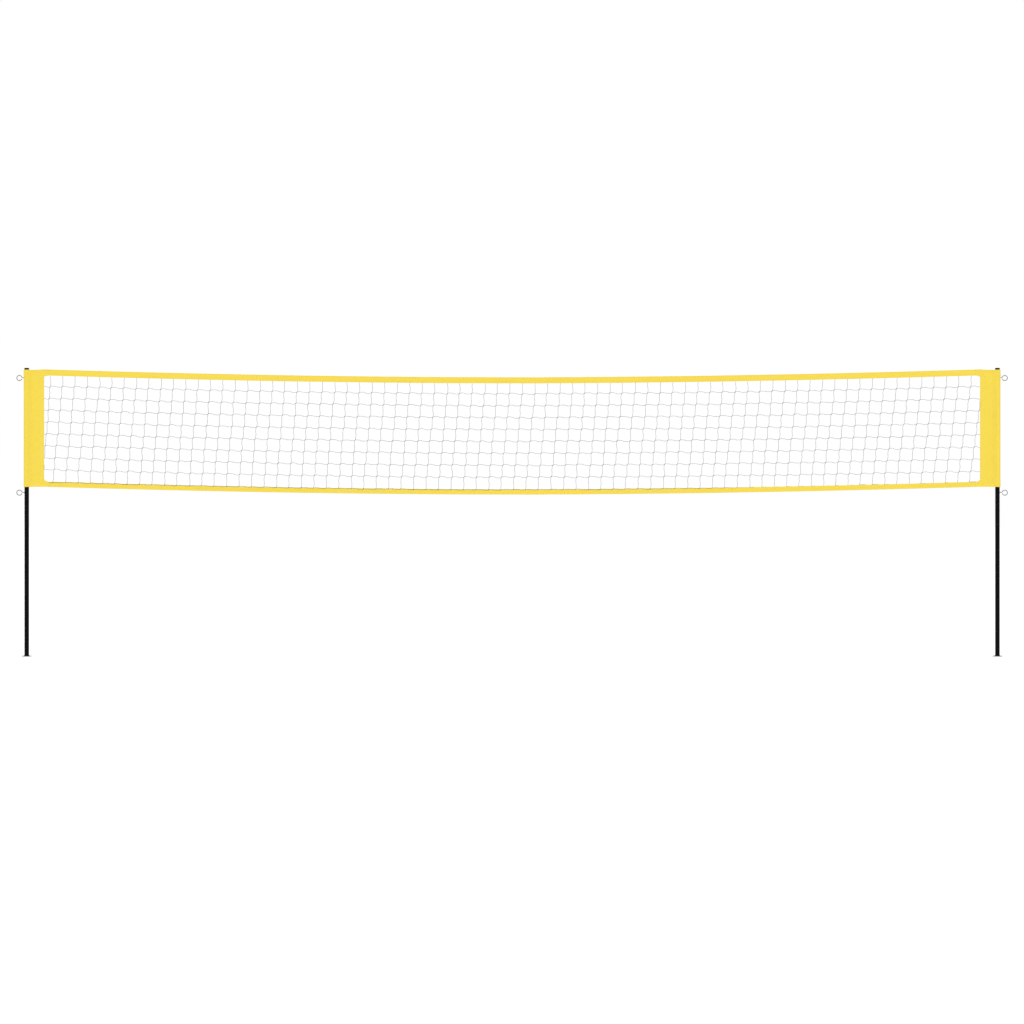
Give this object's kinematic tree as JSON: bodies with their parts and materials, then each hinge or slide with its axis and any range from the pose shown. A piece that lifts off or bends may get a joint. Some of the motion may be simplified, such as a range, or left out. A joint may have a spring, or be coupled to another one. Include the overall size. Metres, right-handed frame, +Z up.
{
  "type": "volleyball net on poles",
  "caption": "Portable volleyball net: knotted mesh in yellow tape borders, with end sleeves over sectional black poles that carry open-eye rope hooks.",
  "frame": {"origin": "on the ground, midway between the two poles, at the bottom centre of the bounding box", "axes": "+X along the net from the left pole to the right pole, +Y across the court through the net, +Z up the poles"},
  "size_m": [8.351, 0.078, 2.43],
  "materials": {
    "yellow_fabric": "woven polyester tape, matt",
    "net_cord": "knotted black polyethylene cord",
    "rope": "braided white cord",
    "black_paint": "black powder coat on steel tube",
    "black_plastic": "moulded black polyethylene",
    "hook_steel": "bright zinc-plated steel wire",
    "zinc_steel": "zinc-plated steel"
  },
  "bodies": {
    "ground_sections": {"left_foot_disc": "zinc_steel", "left_foot_screw": "zinc_steel", "left_foot_cap": "black_plastic", "left_lower_pole": "black_paint", "right_foot_disc": "zinc_steel", "right_foot_screw": "zinc_steel", "right_foot_cap": "black_plastic", "right_lower_pole": "black_paint"},
    "left_middle": {"left_middle_pole": "black_paint", "left_lower_insert": "zinc_steel"},
    "right_middle": {"right_middle_pole": "black_paint", "right_lower_insert": "zinc_steel"},
    "net_top": {"left_upper_pole": "black_paint", "left_top_cap": "black_plastic", "left_upper_insert": "zinc_steel", "left_sleeve": "yellow_fabric", "right_upper_pole": "black_paint", "right_top_cap": "black_plastic", "right_upper_insert": "zinc_steel", "right_sleeve": "yellow_fabric", "top_band": "yellow_fabric", "top_rope": "rope", "mesh_net": "net_cord", "bottom_band": "yellow_fabric", "bottom_rope": "rope"},
    "left_lower_hook": {"left_lower_hook": "hook_steel"},
    "left_upper_hook": {"left_upper_hook": "hook_steel"},
    "right_lower_hook": {"right_lower_hook": "hook_steel"},
    "right_upper_hook": {"right_upper_hook": "hook_steel"}
  },
  "joints": [
    {"name": "left_middle_lift", "type": "slide", "parent": "ground_sections", "child": "left_middle", "axis": [0, 0, 1], "range_m": [0, 0.08]},
    {"name": "right_middle_lift", "type": "slide", "parent": "ground_sections", "child": "right_middle", "axis": [0, 0, 1], "range_m": [0, 0.08]},
    {"name": "net_lift", "type": "slide", "parent": "left_middle", "child": "net_top", "axis": [0, 0, 1], "range_m": [0, 0.08]},
    {"name": "left_lower_hook_turn", "type": "hinge", "parent": "left_middle", "child": "left_lower_hook", "pos_m": [-4.089, 0, 1.381], "axis": [1, 0, 0], "continuous": true},
    {"name": "right_lower_hook_turn", "type": "hinge", "parent": "right_middle", "child": "right_lower_hook", "pos_m": [4.089, 0, 1.381], "axis": [1, 0, 0], "continuous": true},
    {"name": "left_upper_hook_turn", "type": "hinge", "parent": "net_top", "child": "left_upper_hook", "pos_m": [-4.089, 0, 2.347], "axis": [1, 0, 0], "continuous": true},
    {"name": "right_upper_hook_turn", "type": "hinge", "parent": "net_top", "child": "right_upper_hook", "pos_m": [4.089, 0, 2.347], "axis": [1, 0, 0], "continuous": true}
  ],
  "couplings": [
    {"joint": "right_middle_lift", "follows": "left_middle_lift", "ratio": 1}
  ]
}
